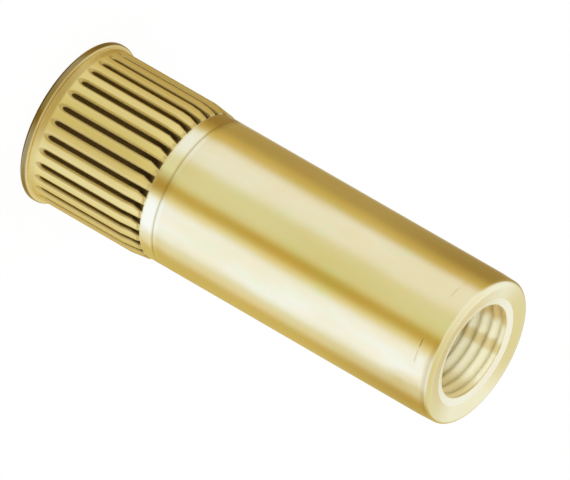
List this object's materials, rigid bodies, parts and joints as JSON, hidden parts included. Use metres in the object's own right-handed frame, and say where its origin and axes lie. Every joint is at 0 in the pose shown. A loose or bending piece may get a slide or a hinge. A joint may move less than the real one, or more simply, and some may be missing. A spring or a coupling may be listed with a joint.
{
  "type": "threaded insert",
  "caption": "Long blind threaded insert: slim flanged head, straight-knurled shank, plain cylindrical body and fine female thread at the open far end.",
  "frame": {"origin": "centre of the head's outer face, on the axis", "axes": "+Z along the axis from the head to the open threaded end; the part stands on its head; X and Y are equal"},
  "size_m": [0.0184, 0.0184, 0.0524],
  "materials": {
    "insert": "satin"
  },
  "bodies": {
    "root": {"insert": "insert"}
  },
  "joints": []
}
